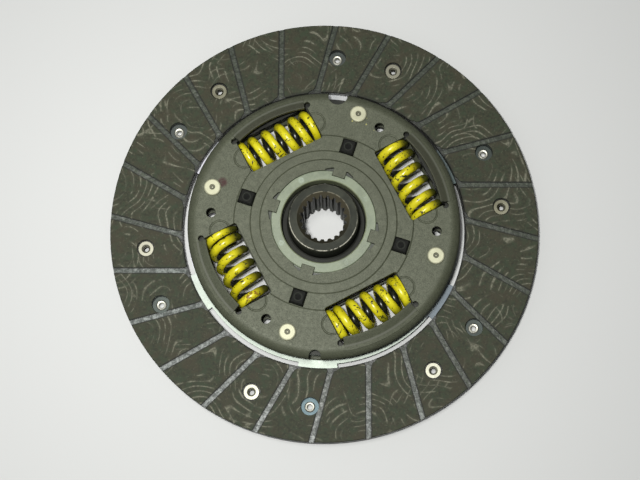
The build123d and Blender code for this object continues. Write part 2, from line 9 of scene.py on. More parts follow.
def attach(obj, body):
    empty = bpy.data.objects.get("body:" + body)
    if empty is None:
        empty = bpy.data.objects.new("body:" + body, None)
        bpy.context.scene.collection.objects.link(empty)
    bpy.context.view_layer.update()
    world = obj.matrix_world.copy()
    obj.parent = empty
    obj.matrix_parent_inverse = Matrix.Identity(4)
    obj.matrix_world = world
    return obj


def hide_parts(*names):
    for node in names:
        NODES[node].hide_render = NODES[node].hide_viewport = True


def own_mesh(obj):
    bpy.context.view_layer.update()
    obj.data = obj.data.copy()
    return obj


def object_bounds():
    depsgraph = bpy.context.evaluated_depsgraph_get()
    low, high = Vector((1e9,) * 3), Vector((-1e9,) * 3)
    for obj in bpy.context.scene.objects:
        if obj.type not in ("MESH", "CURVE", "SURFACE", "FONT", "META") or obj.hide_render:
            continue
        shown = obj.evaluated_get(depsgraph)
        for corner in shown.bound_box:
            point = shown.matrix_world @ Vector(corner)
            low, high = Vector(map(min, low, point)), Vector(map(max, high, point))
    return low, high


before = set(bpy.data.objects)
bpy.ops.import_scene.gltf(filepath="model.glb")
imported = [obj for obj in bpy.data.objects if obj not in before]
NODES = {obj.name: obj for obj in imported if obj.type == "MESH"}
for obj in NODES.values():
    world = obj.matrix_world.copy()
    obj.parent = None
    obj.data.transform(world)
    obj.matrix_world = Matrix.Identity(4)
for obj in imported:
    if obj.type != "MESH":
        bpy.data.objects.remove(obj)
CAD_BOX = [list(map(float, c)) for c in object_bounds()]
MM = 0.001
scene = bpy.context.scene


# ---------------------------------------------------------------- node helpers

class Mat:
    """A small builder for procedural materials. Lengths in the patterns are millimetres."""

    def __init__(self, name):
        self.m = bpy.data.materials.new(name)
        self.m.use_nodes = True
        self.nt = self.m.node_tree
        self.nt.nodes.clear()
        self.out = self.nt.nodes.new("ShaderNodeOutputMaterial")
        self.bsdf = self.nt.nodes.new("ShaderNodeBsdfPrincipled")
        self.nt.links.new(self.bsdf.outputs[0], self.out.inputs[0])
        coord = self.nt.nodes.new("ShaderNodeTexCoord")
        self.co = self.vmath("SCALE", coord.outputs["Object"], scale=1000.0)
        self.geo = None

    def put(self, socket, value):
        if isinstance(value, bpy.types.NodeSocket):
            self.nt.links.new(value, socket)
        else:
            if isinstance(value, (tuple, list)) and len(value) == 3 and socket.type == "RGBA":
                value = (*value, 1.0)
            socket.default_value = value

    def math(self, op, a, b=None, c=None, clamp=False):
        n = self.nt.nodes.new("ShaderNodeMath")
        n.operation = op
        n.use_clamp = clamp
        for s, v in zip(n.inputs, (a, b, c)):
            if v is not None:
                self.put(s, v)
        return n.outputs[0]

    def add(self, a, b): return self.math("ADD", a, b)
    def sub(self, a, b): return self.math("SUBTRACT", a, b)
    def mul(self, a, b, clamp=False): return self.math("MULTIPLY", a, b, clamp=clamp)
    def max(self, a, b): return self.math("MAXIMUM", a, b)
    def min(self, a, b): return self.math("MINIMUM", a, b)

    def vmath(self, op, a, b=None, scale=None):
        n = self.nt.nodes.new("ShaderNodeVectorMath")
        n.operation = op
        self.put(n.inputs[0], a)
        if b is not None:
            self.put(n.inputs[1], b)
        if scale is not None:
            self.put(n.inputs["Scale"], scale)
        return n.outputs["Value"] if op in ("LENGTH", "DOT_PRODUCT", "DISTANCE") else n.outputs[0]

    def xyz(self, v):
        n = self.nt.nodes.new("ShaderNodeSeparateXYZ")
        self.put(n.inputs[0], v)
        return n.outputs[0], n.outputs[1], n.outputs[2]

    def vec(self, x, y, z):
        n = self.nt.nodes.new("ShaderNodeCombineXYZ")
        for s, v in zip(n.inputs, (x, y, z)):
            self.put(s, v)
        return n.outputs[0]

    def shift(self, v, x, y, z): return self.vmath("ADD", v, (x, y, z))

    def noise(self, size, vec=None, detail=2.0, rough=0.5, distortion=0.0, off=(0, 0, 0)):
        """Noise whose features are about size millimetres, from 0 to 1."""
        n = self.nt.nodes.new("ShaderNodeTexNoise")
        v = self.co if vec is None else vec
        if off != (0, 0, 0):
            v = self.shift(v, *off)
        self.put(n.inputs["Vector"], v)
        n.inputs["Scale"].default_value = 1.0 / size
        n.inputs["Detail"].default_value = detail
        n.inputs["Roughness"].default_value = rough
        n.inputs["Distortion"].default_value = distortion
        return n.outputs["Fac"]

    def voronoi(self, size, vec=None, feature="F1", randomness=1.0, off=(0, 0, 0), out="Distance", flat=False):
        n = self.nt.nodes.new("ShaderNodeTexVoronoi")
        n.feature = feature
        if flat:
            n.voronoi_dimensions = "2D"
        if feature == "SMOOTH_F1":
            n.inputs["Smoothness"].default_value = 0.30
        v = self.co if vec is None else vec
        if off != (0, 0, 0):
            v = self.shift(v, *off)
        self.put(n.inputs["Vector"], v)
        n.inputs["Scale"].default_value = 1.0 / size
        n.inputs["Randomness"].default_value = randomness
        return n.outputs[out]

    def step(self, v, lo, hi, a=0.0, b=1.0):
        """Smoothly from a at lo to b at hi, held beyond them."""
        n = self.nt.nodes.new("ShaderNodeMapRange")
        n.interpolation_type = "SMOOTHSTEP"
        n.clamp = True
        for s, x in zip((0, 1, 2, 3, 4), (v, lo, hi, a, b)):
            self.put(n.inputs[s], x)
        return n.outputs[0]

    def line(self, v, lo, hi, a=0.0, b=1.0):
        n = self.nt.nodes.new("ShaderNodeMapRange")
        n.clamp = True
        for s, x in zip((0, 1, 2, 3, 4), (v, lo, hi, a, b)):
            self.put(n.inputs[s], x)
        return n.outputs[0]

    def mix(self, fac, a, b, blend="MIX"):
        n = self.nt.nodes.new("ShaderNodeMix")
        n.data_type = "RGBA"
        n.blend_type = blend
        self.put(n.inputs[0], fac)
        self.put(n.inputs[6], a)
        self.put(n.inputs[7], b)
        return n.outputs[2]

    def polar(self, vec=None):
        """(radius in mm, angle in degrees from -180 to 180) about the Z axis, and z."""
        x, y, z = self.xyz(self.co if vec is None else vec)
        r = self.math("SQRT", self.add(self.mul(x, x), self.mul(y, y)))
        a = self.math("MULTIPLY", self.math("ARCTAN2", y, x), 180.0 / math.pi)
        return r, a, z

    def spot(self, x, y, radius, soft=0.3, vec=None):
        """1 inside a disc of this radius at (x, y), 0 outside."""
        px, py, _ = self.xyz(self.co if vec is None else vec)
        dx, dy = self.sub(px, x), self.sub(py, y)
        d = self.math("SQRT", self.add(self.mul(dx, dx), self.mul(dy, dy)))
        return self.step(d, radius - soft, radius + soft, 1.0, 0.0)

    def rounded(self, radius_mm, samples=4):
        n = self.nt.nodes.new("ShaderNodeBevel")
        n.samples = samples
        n.inputs["Radius"].default_value = radius_mm * MM
        return n.outputs[0]

    def bump(self, height, strength, distance_mm, normal=None):
        n = self.nt.nodes.new("ShaderNodeBump")
        n.inputs["Strength"].default_value = strength
        n.inputs["Distance"].default_value = distance_mm * MM
        self.put(n.inputs["Height"], height)
        if normal is not None:
            self.put(n.inputs["Normal"], normal)
        return n.outputs[0]

    def set(self, **kw):
        for key, value in kw.items():
            self.put(self.bsdf.inputs[key.replace("_", " ")], value)
        return self


def assign(obj, mat):
    obj.data.materials.clear()
    obj.data.materials.append(mat.m if isinstance(mat, Mat) else mat)


# ---------------------------------------------------------------- materials

FACE_Z = 8.0          # front friction face
COVER_Z = 18.75       # top of the cover's flat ring
GROOVE = 0.75         # depth of its grooves
GROUND_DARK, GROUND_LIGHT = (0.017, 0.020, 0.010), (0.048, 0.052, 0.028)
GROUND_GREEN, GROUND_BROWN = (0.030, 0.044, 0.022), (0.047, 0.039, 0.022)
YARN, YARN_HALO, FLECK = (0.225, 0.222, 0.165), (0.070, 0.071, 0.048), (0.130, 0.126, 0.086)
SKIN_DARK, SKIN_LIGHT = (0.030, 0.037, 0.026), (0.074, 0.086, 0.062)
# lighter groove skin, a painted sheen in one sector
SKIN_SHEEN_DARK, SKIN_SHEEN_LIGHT = (0.055, 0.066, 0.058), (0.215, 0.240, 0.222)
GROOVE_OUT, GROOVE_IN, GROOVE_STEP = (95.0, 11.7), (62.8, 18.0), 15.0   # ends of the first groove, mm and degrees


def groove_line():
    """The first groove's centre line: its nearest distance to the axis and the direction of that nearest point."""
    (x1, y1), (x2, y2) = [(r * math.cos(math.radians(a)), r * math.sin(math.radians(a))) for r, a in (GROOVE_OUT, GROOVE_IN)]
    nx, ny = y2 - y1, x1 - x2
    length = math.hypot(nx, ny)
    nx, ny = nx / length, ny / length
    p = nx * x1 + ny * y1
    if p < 0:
        nx, ny, p = -nx, -ny, -p
    return p, math.degrees(math.atan2(ny, nx))


def facing_material(name, top_z, sign):
    """Moulded lining with wound yarn: dark ground, pale yarn in nests of broken arcs, mottled skin in the grooves."""
    s = Mat(name)
    x, y, z = s.xyz(s.co)
    depth = s.mul(s.sub(top_z, z), sign)                   # mm below the friction face
    flat = s.vec(x, y, 0.0)
    r, ang, _ = s.polar()

    wx = s.mul(s.sub(s.noise(17.0, flat, detail=0.5, off=(3, 50, 1)), 0.5), 11.0)
    wy = s.mul(s.sub(s.noise(17.0, flat, detail=0.5, off=(60, -8, 4)), 0.5), 11.0)
    warped = s.vec(s.add(x, wx), s.add(y, wy), 0.0)

    def arcs(size, gap, seed, width):
        """Distance in mm from arcs that lie gap mm apart around scattered centres."""
        d = s.mul(s.voronoi(size, warped, feature="SMOOTH_F1", off=(seed, seed * 0.6, 0.0), flat=True), size)
        u = s.mul(d, 1.0 / gap)
        off = s.mul(s.math("ABSOLUTE", s.sub(s.math("FRACT", u), 0.5)), gap)
        outer = s.step(d, 6.0, 9.0)                        # no closed rings round the centres
        return s.mul(s.step(s.sub(off, width), -0.10, 0.16, 1.0, 0.0), outer), s.mul(s.step(off, 0.2, 1.0, 1.0, 0.0), outer)

    width = s.line(s.noise(4.6, flat, off=(2, 7, 1)), 0.32, 0.68, 0.04, 0.36)
    core1, halo1 = arcs(38.0, 2.90, 31.0, width)
    core2, halo2 = arcs(32.0, 2.60, 77.0, s.mul(width, 0.8))
    breaks = s.step(s.noise(6.5, warped, off=(12, 5, 9)), 0.38, 0.48)
    show1 = s.mul(s.step(s.noise(12.0, flat, detail=1.0, off=(40, 3, 8)), 0.45, 0.54), breaks)
    show2 = s.mul(s.mul(s.step(s.noise(11.0, flat, detail=1.0, off=(-20, 13, 5)), 0.53, 0.60), 0.75), breaks)
    beads = s.step(s.noise(0.9, flat, detail=2.0, off=(5, 9, 2)), 0.36, 0.62, 0.35, 1.0)
    yarn = s.mul(s.max(s.mul(core1, show1), s.mul(core2, show2)), beads, clamp=True)
    haze = s.mul(s.max(s.mul(halo1, show1), s.mul(halo2, show2)), 0.30)

    flecks = s.step(s.voronoi(1.25, flat, off=(3, 3, 0), flat=True), 0.10, 0.24, 1.0, 0.0)
    fleck_show = s.step(s.noise(2.3, flat, off=(11, -4, 0)), 0.5, 0.66)
    flecks = s.mul(s.mul(flecks, fleck_show), 0.42)

    tone = s.noise(1.1, flat, detail=4.0, rough=0.65)
    patch = s.noise(7.0, flat, detail=3.0, rough=0.55, off=(9, 2, 4))
    green = s.noise(2.6, flat, detail=2.0, off=(17, 30, 3))
    base = s.mix(s.step(tone, 0.3, 0.72), GROUND_DARK, GROUND_LIGHT)
    base = s.mix(s.mul(s.step(green, 0.42, 0.66), 0.8), base, GROUND_GREEN)
    base = s.mix(s.mul(s.step(patch, 0.42, 0.68), 0.55), base, GROUND_BROWN)
    base = s.mix(haze, base, YARN_HALO)
    base = s.mix(flecks, base, FLECK)
    base = s.mix(s.mul(yarn, 0.72), base, YARN)

    # distance from the middle of the nearest groove
    near_r, near_deg = groove_line()
    lean = s.mul(s.math("ARCCOSINE", s.math("DIVIDE", near_r, s.max(r, near_r + 0.1))), 57.29578)
    turn = s.math("WRAP", s.sub(ang, s.sub(near_deg, lean)), GROOVE_STEP / 2, -GROOVE_STEP / 2)
    off_mid = s.math("ABSOLUTE", s.sub(s.mul(r, s.math("COSINE", s.mul(s.sub(turn, lean), 0.01745329))), near_r))

    floor = s.step(depth, GROOVE - 0.25, GROOVE - 0.12)
    skin_tone = s.noise(1.3, flat, detail=3.0, rough=0.65, off=(1, 60, 2))
    skin_big = s.noise(7.0, flat, detail=1.0, off=(31, 6, 2))
    speck = s.step(skin_tone, 0.42, 0.64)
    skin = s.mix(speck, SKIN_DARK, SKIN_LIGHT)
    # painted sheen: the groove skin is lighter in the sector round -118 degrees and weaker towards the hub
    painted_sheen = s.step(s.math("ABSOLUTE", s.math("WRAP", s.add(ang, 118.0), 180.0, -180.0)), 38.0, 72.0, 1.0, 0.0)
    sheen_fade = s.mul(s.step(s.add(r, s.mul(s.sub(skin_tone, 0.5), 10.0)), 76.0, 90.0, 1.0, 0.0), s.step(s.math("WRAP", s.add(ang, 118.0), 180.0, -180.0), 0.0, 22.0))
    painted_sheen = s.mul(painted_sheen, s.sub(1.0, s.mul(sheen_fade, 0.72)))  # painted sheen, weaker near the hub on this side
    skin = s.mix(painted_sheen, skin, s.mix(speck, SKIN_SHEEN_DARK, SKIN_SHEEN_LIGHT))
    skin = s.mix(s.mul(s.step(skin_big, 0.45, 0.6), 0.35), skin, SKIN_DARK)
    # painted shade: the groove floor is darker along its edges, in the corners by the walls
    skin = s.mix(s.mul(s.step(off_mid, 0.60, 1.05), 0.72), skin, (0.014, 0.016, 0.014))
    base = s.mix(floor, base, skin)
    # painted shade: the pad top is darker in a thin line along each groove's edge
    rim = s.mul(s.step(off_mid, 1.38, 1.80, 1.0, 0.0), s.sub(1.0, floor))
    base = s.mix(s.mul(rim, 0.66), base, (0.012, 0.013, 0.010))
    # painted shade on the rounded inner edge of the lining
    inner_edge_shade = s.step(r, 63.2, 64.0, 1.0, 0.0)
    base = s.mix(s.mul(inner_edge_shade, 0.55), base, (0.014, 0.015, 0.012))
    # painted shade on the groove walls
    wall_shade = s.mul(s.step(depth, 0.05, 0.3), s.sub(1.0, floor))
    base = s.mix(s.mul(wall_shade, 0.75), base, (0.010, 0.011, 0.010))
    # painted shade on the lining's sides and in the rivet pockets, below the grooves
    deep_shade = s.step(depth, GROOVE + 0.2, GROOVE + 0.9)
    base = s.mix(s.mul(deep_shade, 0.75), base, (0.014, 0.014, 0.012))

    rough_top = s.line(s.add(s.mul(tone, 0.5), s.mul(yarn, 0.4)), 0.1, 0.7, 0.66, 0.86)
    rough_floor = s.line(skin_tone, 0.3, 0.7, 0.50, 0.34)
    rough = s.add(s.mul(rough_top, s.sub(1.0, floor)), s.mul(rough_floor, floor))

    grain = s.add(s.mul(s.noise(0.45, flat, detail=3.0, rough=0.7), 0.5), s.mul(yarn, -0.35))
    lumps = s.add(s.mul(s.noise(2.4, flat, detail=2.0, rough=0.5, off=(4, 4, 9)), 1.0), s.mul(s.noise(0.8, flat, detail=1.0), 0.18))
    n = s.rounded(0.22)
    n = s.bump(s.mul(grain, s.sub(1.0, floor)), 0.55, 0.10, n)
    n = s.bump(s.mul(lumps, floor), 0.55, 0.40, n)
    s.set(Base_Color=base, Roughness=rough, Normal=n, Specular_IOR_Level=0.35)
    return s


def phosphate_material(name, dark=1.0):
    """Matte grey phosphate on pressed sheet, fine grain, slightly warmer and darker in patches."""
    s = Mat(name)
    r, ang, z = s.polar()
    fine = s.noise(0.38, detail=3.0, rough=0.7)
    mid = s.noise(2.4, detail=3.0, rough=0.6, off=(9, 1, 3))
    big = s.noise(16.0, detail=3.0, rough=0.55, off=(2, 30, 7))
    a = tuple(c * dark for c in (0.042, 0.048, 0.028))
    b = tuple(c * dark for c in (0.110, 0.120, 0.078))
    base = s.mix(s.step(fine, 0.28, 0.72), a, b)
    base = s.mix(s.mul(s.step(mid, 0.45, 0.70), 0.35), base, tuple(c * dark for c in (0.114, 0.124, 0.080)))
    base = s.mix(s.mul(s.step(big, 0.45, 0.66), 0.40), base, tuple(c * dark for c in (0.066, 0.073, 0.044)))
    rough = s.line(s.add(s.mul(fine, 0.6), s.mul(mid, 0.4)), 0.3, 0.7, 0.66, 0.50)
    n = s.rounded(0.28)
    n = s.bump(s.add(s.mul(fine, 0.6), s.mul(mid, 0.5)), 0.35, 0.08, n)
    s.set(Roughness=rough, Normal=n, Metallic=0.25, Specular_IOR_Level=0.5)
    return s, base, r, ang, z, n


def cover_material():
    s, base, r, ang, z, n = phosphate_material("cover_phosphate")
    outer = s.step(r, 44.0, 46.0)
    lip = s.mul(s.step(z, COVER_Z + 0.7, COVER_Z + 1.1), outer)
    # painted shade: the lips are darker on the sides round 62 degrees, turned away from the light
    lip_shade = s.step(s.math("ABSOLUTE", s.math("WRAP", s.sub(ang, 62.0), 180.0, -180.0)), 78.0, 120.0, 0.50, 0.0)
    base = s.mix(s.mul(lip, lip_shade), base, (0.052, 0.050, 0.034))
    # painted highlight along the bend at the foot of each lip
    bend_highlight = s.mul(s.mul(s.step(z, COVER_Z + 0.08, COVER_Z + 0.25), s.step(z, COVER_Z + 0.5, COVER_Z + 0.8, 1.0, 0.0)), outer)
    base = s.mix(s.mul(bend_highlight, 0.5), base, (0.20, 0.205, 0.170))
    a = math.radians(158.0)
    stain = s.spot(47.9 * math.cos(a), 47.9 * math.sin(a), 2.0, 0.8)
    blot = s.step(s.noise(1.1, detail=3.0, rough=0.6, off=(3, 4, 5)), 0.26, 0.50)
    base = s.mix(s.mul(s.mul(stain, blot), 0.97), base, (0.040, 0.010, 0.008))
    specks = s.step(s.voronoi(3.6, off=(4.4, 1.2, 0)), 0.05, 0.12, 1.0, 0.0)
    near = s.mul(s.step(r, 40.0, 44.0), s.step(s.math("ABSOLUTE", s.sub(ang, 75.0)), 8.0, 18.0, 1.0, 0.0))
    base = s.mix(s.mul(specks, s.mul(near, 0.8)), base, (0.50, 0.46, 0.13))
    s.set(Base_Color=base)
    return s


def steel_material(name, a, b, rough=(0.22, 0.42), tint=False, turned=False, grain=0.25, metal=1.0):
    s = Mat(name)
    r, ang, z = s.polar()
    cloud = s.noise(7.0, detail=4.0, rough=0.6)
    fine = s.noise(0.5, detail=3.0, rough=0.7, off=(3, 8, 1))
    if turned:
        v = s.vec(s.mul(r, 6.0), s.mul(ang, 0.05), s.mul(z, 6.0))
        fine = s.noise(1.0, v, detail=3.0, rough=0.6)
    base = s.mix(s.step(cloud, 0.35, 0.68), a, b)
    base = s.mix(s.mul(s.step(fine, 0.5, 0.75), 0.3), base, tuple(c * 0.72 for c in a))
    if tint:
        band = s.add(s.noise(11.0, detail=2.0, rough=0.5, off=(6, 2, 2)), 0.0)
        straw = s.step(band, 0.50, 0.58)
        blue = s.step(band, 0.60, 0.70)
        here = s.step(s.math("ABSOLUTE", s.sub(ang, -128.0)), 22.0, 55.0, 1.0, 0.12)
        base = s.mix(s.mul(s.mul(straw, here), 0.8), base, (0.60, 0.47, 0.26))
        base = s.mix(s.mul(s.mul(blue, here), 0.85), base, (0.16, 0.22, 0.46))
    rr = s.line(s.add(s.mul(fine, 0.5), s.mul(cloud, 0.5)), 0.3, 0.7, rough[0], rough[1])
    n = s.rounded(0.15)
    n = s.bump(s.add(s.mul(fine, 0.5), s.mul(cloud, 0.6)), grain, 0.08, n)
    s.set(Base_Color=base, Roughness=rr, Metallic=metal, Normal=n)
    return s


def cushion_material():
    """Bright spring steel: a painted lilac reflection on the left, a painted pale green reflection below, painted
    shade on two necks.
    """
    s = steel_material("spring_steel", (0.34, 0.35, 0.36), (0.48, 0.49, 0.49), (0.50, 0.62))
    base = s.bsdf.inputs["Base Color"].links[0].from_socket
    r, ang, z = s.polar()
    wob = s.mul(s.sub(s.noise(9.0, detail=2.0, off=(5, 1, 8)), 0.5), 40.0)
    q = s.add(ang, wob)

    def sector(mid, half, soft, angle=q):
        d = s.math("ABSOLUTE", s.math("WRAP", s.sub(angle, mid), 180.0, -180.0))
        return s.step(d, half, half + soft, 1.0, 0.0)

    # painted reflections: lilac sheen on the left, pale green sheen below, grey-green towards the right
    base = s.mix(s.mul(sector(178.0, 14.0, 22.0), 0.8), base, (0.64, 0.62, 0.72))
    base = s.mix(s.mul(sector(-105.0, 52.0, 14.0), 0.8), base, (0.34, 0.39, 0.33))
    base = s.mix(s.mul(sector(-12.0, 36.0, 18.0), 0.75), base, (0.42, 0.47, 0.42))
    straw = s.mul(sector(-121.0, 1.0, 3.0), s.step(r, 60.4, 61.2))
    base = s.mix(s.mul(straw, 0.7), base, (0.46, 0.33, 0.13))
    neck = s.step(r, 59.6, 60.6)
    # painted shade: the two necks that slope towards the dark side are darker
    base = s.mix(s.mul(s.mul(sector(27.5, 9.0, 1.0, ang), neck), 0.85), base, (0.040, 0.062, 0.066))
    base = s.mix(s.mul(s.mul(sector(-32.5, 9.0, 1.0, ang), neck), 0.80), base, (0.070, 0.088, 0.120))
    # painted shade: the paddles under and between the facings are darker; bluish tone under one rivet hole at -94.4
    # degrees
    base = s.mix(s.mul(s.step(r, 66.0, 68.0), 0.95), base, (0.058, 0.068, 0.062))
    base = s.mix(s.mul(s.mul(sector(-94.4, 6.0, 1.0, ang), s.step(r, 66.0, 68.0)), 0.85), base, (0.095, 0.135, 0.150))
    s.set(Base_Color=base)
    return s


def hub_material():
    """Oiled, dark machined steel with a painted highlight on the barrel's edge, a brownish lead-in, a painted
    highlight on the bore's rim and painted shade low on the barrel.
    """
    s = steel_material("hub_steel", (0.013, 0.015, 0.010), (0.030, 0.033, 0.023), (0.42, 0.56), turned=True)
    base = s.bsdf.inputs["Base Color"].links[0].from_socket
    rough = s.bsdf.inputs["Roughness"].links[0].from_socket
    r, ang, z = s.polar()
    top = s.step(z, 25.4, 25.8)
    glint_breakup = s.step(s.noise(1.6, detail=3.0, rough=0.6, off=(7, 7, 1)), 0.34, 0.52)
    low = s.step(s.math("ABSOLUTE", s.add(ang, 95.0)), 62.0, 110.0, 1.0, 0.18)
    # painted highlight: a broken bright line on the barrel's chamfer, mostly on the lower side
    edge = s.mul(s.mul(s.step(r, 14.50, 14.62), s.step(r, 14.80, 14.95, 1.0, 0.0)), s.mul(s.mul(top, glint_breakup), low))
    lead = s.mul(s.step(r, 11.3, 11.5, 1.0, 0.0), s.step(z, 23.6, 24.4))
    warm = s.mul(lead, s.step(s.math("ABSOLUTE", s.sub(ang, 75.0)), 70.0, 110.0, 0.85, 0.35))
    base = s.mix(warm, base, (0.085, 0.075, 0.048))
    # painted highlight: broken light line on the bore's rim, mostly round 70 degrees
    rim = s.mul(s.mul(s.step(r, 11.25, 11.4), s.step(r, 11.6, 11.8, 1.0, 0.0)), s.mul(top, s.mul(glint_breakup, s.step(s.math("ABSOLUTE", s.sub(ang, 70.0)), 40.0, 80.0, 0.8, 0.1))))
    base = s.mix(s.mul(rim, 0.45), base, (0.36, 0.33, 0.24))
    base = s.mix(s.mul(edge, 0.9), base, (0.70, 0.68, 0.56))
    # painted shade: the barrel is nearly black low down, in the gap to the bush
    base = s.mix(s.mul(s.step(z, 16.0, 17.5, 1.0, 0.0), s.mul(s.step(r, 14.0, 14.6), 0.65)), base, (0.006, 0.006, 0.005))
    s.set(Base_Color=base, Roughness=s.sub(rough, s.mul(edge, 0.15)), Metallic=0.4, Specular_IOR_Level=0.25)
    return s


def nylon_material(name, a, b):
    s = Mat(name)
    r, ang, z = s.polar()
    cloud = s.noise(6.0, detail=3.0, rough=0.5)
    fine = s.noise(0.8, detail=3.0, rough=0.6, off=(3, 8, 1))
    base = s.mix(s.step(cloud, 0.35, 0.66), a, b)
    base = s.mix(s.mul(s.step(fine, 0.5, 0.7), 0.25), base, tuple(min(1.0, c * 1.25) for c in b))
    rim = s.step(r, 18.3, 19.3, 1.0, 0.0)
    base = s.mix(s.mul(rim, 0.5), base, (0.22, 0.23, 0.105))
    # painted shade: the bush is darker beyond r 22.9 mm, under the cover plate
    base = s.mix(s.mul(s.step(r, 22.9, 23.1), 0.9), base, (0.014, 0.017, 0.011))
    for deg, show in ((118.0, 0.50), (208.0, 0.42), (298.0, 0.10), (28.0, 0.16)):
        q = math.radians(deg)
        cx, cy = 20.85 * math.cos(q), 20.85 * math.sin(q)
        ring = s.mul(s.spot(cx, cy, 1.30, 0.30), s.sub(1.0, s.mul(s.spot(cx, cy, 0.60, 0.30), 0.4)))
        base = s.mix(s.mul(ring, show), base, (0.42, 0.50, 0.40))
    n = s.rounded(0.25)
    n = s.bump(s.add(s.mul(cloud, 0.6), s.mul(fine, 0.4)), 0.25, 0.10, n)
    s.set(Base_Color=base, Roughness=s.line(cloud, 0.3, 0.7, 0.34, 0.50), Normal=n, Subsurface_Weight=0.25,
          Subsurface_Scale=0.0015, Specular_IOR_Level=0.5)
    s.bsdf.inputs["Subsurface Radius"].default_value = (1.0, 1.0, 0.8)
    return s


def plastic_material(name, a, b, rough=(0.35, 0.55)):
    s = Mat(name)
    fine = s.noise(0.7, detail=3.0, rough=0.6)
    base = s.mix(s.step(fine, 0.35, 0.7), a, b)
    n = s.rounded(0.25)
    n = s.bump(fine, 0.3, 0.06, n)
    s.set(Base_Color=base, Roughness=s.line(fine, 0.3, 0.7, *rough), Normal=n)
    return s


def spring_material(k, axis, centre):
    """Glossy yellow paint on the coil's outside, chipped to the blackened steel that shows on its inside."""
    s = Mat(f"spring_paint_{k}")
    rel = s.shift(s.co, *(-c / MM for c in centre))
    along = s.vmath("DOT_PRODUCT", rel, axis)
    outwards = s.vmath("DOT_PRODUCT", rel, (-axis[1], axis[0], 0.0))
    up = s.xyz(rel)[2]
    from_axis = s.math("SQRT", s.add(s.mul(outwards, outwards), s.mul(up, up)))
    off = (17.0 * k, 5.0 * k, 0.0)
    fine = s.noise(0.9, detail=2.0, rough=0.5, off=off)
    chips = s.noise(1.9, detail=5.0, rough=0.62, distortion=0.8, off=(off[0] + 3, off[1] + 9, 2))
    dots = s.voronoi(1.7, off=off)
    edge = s.add(from_axis, s.mul(s.sub(s.noise(1.6, detail=3.0, off=(off[1], off[0], 4)), 0.5), 2.2))
    bare = s.step(edge, 5.75, 6.15, 1.0, 0.0)
    chip = s.max(s.step(chips, 0.590, 0.620), s.mul(s.step(dots, 0.15, 0.22, 1.0, 0.0), s.step(fine, 0.44, 0.50)))
    chip = s.max(chip, bare)
    tone = s.noise(5.0, detail=2.0, off=off)
    paint = s.mix(s.step(tone, 0.3, 0.7), (0.56, 0.50, 0.008), (0.72, 0.66, 0.020))
    steel = s.mix(s.step(fine, 0.35, 0.7), (0.006, 0.007, 0.005), (0.024, 0.026, 0.015))
    base = s.mix(chip, paint, steel)
    if k in (1, 3):                                        # painted shade: one side of these two coils is darker, the side turned from the light
        side = s.mul(outwards, 1.0 if k == 1 else -1.0)
        base = s.mix(s.step(s.add(side, s.mul(s.sub(tone, 0.5), 3.0)), 0.8, 6.6, 0.0, 0.93), base, (0.020, 0.024, 0.008))
    # painted shade: the strands are darker and greener towards their ends, under the lips and the plate's edge
    end_shade = s.max(s.step(outwards, 4.6, 8.2, 0.0, 0.75), s.step(outwards, -8.4, -5.6, 0.5, 0.0))
    base = s.mix(end_shade, base, (0.085, 0.100, 0.012))
    tip = s.mul(s.step(s.math("ABSOLUTE", along), 15.6, 16.4), s.step(outwards, 5.8, 6.6))
    base = s.mix(tip, base, (0.012, 0.013, 0.008))
    rough = s.add(s.mul(s.line(tone, 0.3, 0.7, 0.22, 0.32), s.sub(1.0, chip)), s.mul(chip, 0.28))
    n = s.bump(s.sub(s.mul(fine, 0.15), s.mul(chip, 0.5)), 0.6, 0.12)
    s.set(Base_Color=base, Roughness=rough, Normal=n, Specular_IOR_Level=0.55)
    return s, base, chip


# ---------------------------------------------------------------- springs

SPRING_R, SPRING_Z, WIRE = 42.65, 11.55, 1.9
COIL = 8.4 - WIRE                    # radius of the wire's centreline
HALF = 17.25
# (angle, x of the strands where they pass over the top, turns before the first and after the last, lag)
SPRINGS = [
    (27.5, (-15.8, -10.1, -3.3, 3.4, 10.4, 15.7), 0.34, 0.36, 0.5),
    (117.5, (-15.7, -9.9, -3.3, 3.35, 10.1, 15.7), 0.30, 0.30, 1.3),
    (207.5, (-14.6, -8.0, -1.3, 5.25, 11.8, 16.3), 0.45, 0.30, -0.5),
    (297.5, (-15.3, -8.6, -1.8, 5.0, 11.6, 15.9), 1.08, 0.30, -1.3),
]


